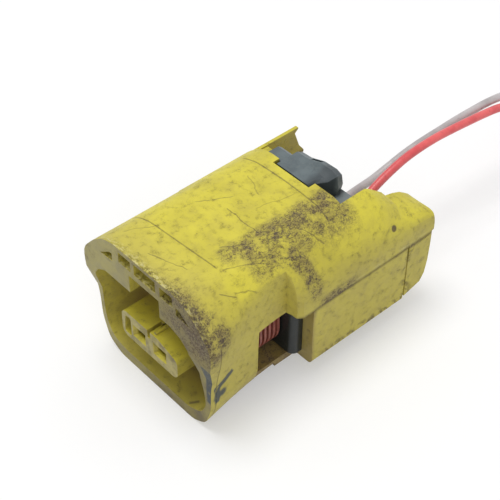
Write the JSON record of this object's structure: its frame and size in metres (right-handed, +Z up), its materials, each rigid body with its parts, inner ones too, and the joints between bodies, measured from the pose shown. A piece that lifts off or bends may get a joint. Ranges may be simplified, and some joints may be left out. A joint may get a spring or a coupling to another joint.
{
  "type": "wire connector housing",
  "caption": "Sealed wire connector housing with a keyed mouth round a terminal tower, a ribbed seal, a sliding lock and trailing wires.",
  "frame": {"origin": "middle of the housing without its wires, on the surface that its mouth's lower lip stands on", "axes": "+X to the right seen from the mouth's back, +Y back along the wires, +Z up; it mates towards -Y"},
  "size_m": [0.0394, 0.123, 0.0301],
  "materials": {
    "outer_housing": "worn, dirty yellow moulding",
    "inner_housing": "yellow moulding",
    "seal": "satin silicone",
    "retainer": "satin",
    "slider": "satin",
    "terminal": "tinned",
    "spring": "bright",
    "strands": "bare copper",
    "wire_seal": "satin silicone",
    "wire_red": "satin insulation",
    "wire_grey": "satin insulation"
  },
  "bodies": {
    "housing": {"outer_housing": "outer_housing", "inner_housing": "inner_housing", "interface_seal": "seal", "seal_retainer": "retainer", "terminal_left": "terminal", "terminal_right": "terminal", "spring_left": "spring", "spring_right": "spring", "conductor_left": "strands", "conductor_right": "strands", "wire_seal_left": "wire_seal", "wire_seal_right": "wire_seal", "wire_red": "wire_red", "wire_grey": "wire_grey", "coil_red": "wire_red", "coil_grey": "wire_grey"},
    "lock": {"lock_slider": "slider"}
  },
  "joints": [
    {"name": "lock_slide", "type": "slide", "parent": "housing", "child": "lock", "axis": [0, 1, 0], "range_m": [0, 0.003]}
  ]
}
